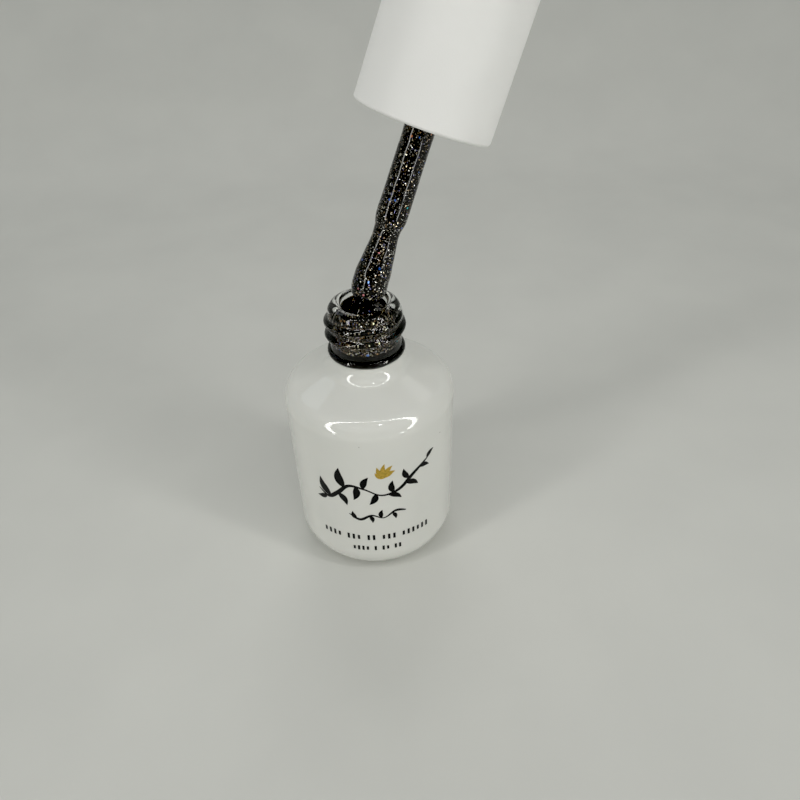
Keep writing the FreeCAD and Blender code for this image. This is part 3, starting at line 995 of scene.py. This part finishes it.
def make_floor():
    """A pale table top that rises softly on all sides, like a studio sweep."""
    n = Nodes("pale_floor")
    color = n.ramp(n.noise(35.0, 3.0), [(0.3, (0.67, 0.675, 0.645)), (0.7, (0.70, 0.705, 0.672))])
    n.link(color, n.shader.inputs["Base Color"])
    grain = n.noise(1800.0, 3.0)
    n.link(n.bump(grain, 0.15, 0.0001), n.shader.inputs["Normal"])
    n.set(Roughness=0.65)
    profile = rounded([(0, -FLOOR_DROP, 0), (FLAT_RADIUS, -FLOOR_DROP, SWEEP_ROUND), (*SWEEP_EDGE, 0)])
    floor = lathe("table_top", filled_in(profile, 0.05), n.material, closed=False)
    floor.location.y = FLAT_BEHIND - FLAT_RADIUS


def area_light(name, place, target, width, height, power, color, half_spread=None):
    """A rectangular lamp. half_spread narrows its beam, as a grid does, at the same brightness ahead."""
    data = bpy.data.lights.new(name, "AREA")
    if half_spread:
        data.spread = 2 * half_spread
        power *= 1 - half_spread / math.tan(half_spread)
    data.shape = "RECTANGLE"
    data.size = width
    data.size_y = height
    data.energy = power
    data.color = color
    light = bpy.data.objects.new(name, data)
    light.location = place
    light.rotation_euler = (Vector(target) - Vector(place)).to_track_quat("-Z", "Y").to_euler()
    bpy.context.scene.collection.objects.link(light)
    return light


def make_ring_lamp():
    """A ring lamp round the camera, open at the bottom, made of short straight lamps."""
    across = Vector((1, 0, 0))
    upward = across.cross(-TO_LENS)
    centre = LIGHT_AIM + TO_LENS * RING_RADIUS
    step = (RING_LAST - RING_FIRST) / RING_PIECES
    length = 1.03 * RING_RADIUS * step
    warm_white = (1.0, 0.99, 0.96)
    for k in range(RING_PIECES):
        angle = RING_FIRST + step * (k + 0.5)
        sideways = RING_STRETCH * across * math.cos(angle)
        place = centre + RING_RADIUS * (sideways + upward * math.sin(angle))
        width = RING_THIN + RING_SWELL * abs(math.cos(angle)) ** 1.5
        power = RING_RADIANCE * math.pi * length * width
        light = area_light(f"ring_{k:02d}", place, LIGHT_AIM, length, width, power, warm_white, RING_SPREAD)
        z_axis = (place - LIGHT_AIM).normalized()
        tangent = upward * math.cos(angle) - across * math.sin(angle)
        x_axis = (tangent - z_axis * tangent.dot(z_axis)).normalized()
        y_axis = z_axis.cross(x_axis)
        light.rotation_euler = Matrix((x_axis, y_axis, z_axis)).transposed().to_euler()


def make_other_lamps():
    """A small pilot lamp, a low strip lamp on the right, and a soft box and two windows behind."""
    stem_middle = MOUTH + BRUSH_AXIS * 20 * MM
    white = (1, 1, 1)
    area_light("ring_pilot", (0.045, -0.20, 0.29), LIGHT_AIM, 0.014, 0.022, 0.03, white)
    area_light("low_strip", (0.11, -0.16, 0.016), stem_middle, 0.016, 0.05, 0.03, white, STRIP_SPREAD)
    area_light("back_soft_box", (0.0, 0.75, 0.80), (0, 0, 0.03), 0.6, 0.4, 1.5, (1.0, 1.0, 0.98))
    area_light("window_left", (-0.50, 0.40, 0.66), LIGHT_AIM, 0.40, 0.30, 0.20, (0.85, 0.95, 1.0))
    area_light("window_right", (0.46, 0.38, 0.74), LIGHT_AIM, 0.34, 0.20, 0.11, (1.0, 0.99, 0.95))


def make_room():
    """A pale room all round, lighter in front of the bottle than behind it."""
    world = bpy.data.worlds.new("pale_room")
    world.use_nodes = True
    tree = world.node_tree
    background = tree.nodes["Background"]
    background.inputs["Color"].default_value = (0.98, 1.0, 0.97, 1)
    around = tree.nodes.new("ShaderNodeTexCoord")
    parts = tree.nodes.new("ShaderNodeSeparateXYZ")
    dim = tree.nodes.new("ShaderNodeMapRange")
    ends = {"From Min": -1, "From Max": 1, "To Min": ROOM_FRONT, "To Max": ROOM_BACK}
    for key, number in ends.items():
        dim.inputs[key].default_value = number
    tree.links.new(around.outputs["Generated"], parts.inputs["Vector"])
    tree.links.new(parts.outputs["Y"], dim.inputs["Value"])
    tree.links.new(dim.outputs["Result"], background.inputs["Strength"])
    bpy.context.scene.world = world


def make_camera():
    """A phone held above and in front of the bottle."""
    data = bpy.data.cameras.new("camera")
    data.sensor_width = 36.0
    data.lens = 29.455
    data.clip_start = 0.005
    data.dof.use_dof = False
    camera = bpy.data.objects.new("camera", data)
    bpy.context.scene.collection.objects.link(camera)
    down = math.radians(37.38)
    yaw = math.radians(3.27)
    roll = math.radians(-1.94)
    forward = Vector((math.sin(yaw) * math.cos(down), math.cos(yaw) * math.cos(down), -math.sin(down)))
    level = forward.cross(Vector((0, 0, 1))).normalized()
    upright = level.cross(forward)
    right = level * math.cos(roll) + upright * math.sin(roll)
    up = upright * math.cos(roll) - level * math.sin(roll)
    turn = Matrix((right, up, -forward)).transposed().to_4x4()
    place = (0, -97.5 * MM, 105.7 * MM)
    camera.matrix_world = Matrix.Translation(place) @ turn
    bpy.context.scene.camera = camera


def set_tone():
    """Plain colours with a phone camera's deep blacks."""
    tone = bpy.context.scene.view_settings
    tone.view_transform = "Standard"
    tone.use_curve_mapping = True
    tone.curve_mapping.black_level = (BLACK_LEVEL, BLACK_LEVEL, BLACK_LEVEL)
    tone.curve_mapping.update()


make_camera()
make_glass()
make_lacquer()
make_pool()
make_lining()
make_tuft_gel()
make_stem_gel()
make_strand()
make_print()
paint_cad_nodes()
make_floor()
make_ring_lamp()
make_other_lamps()
make_room()
set_tone()
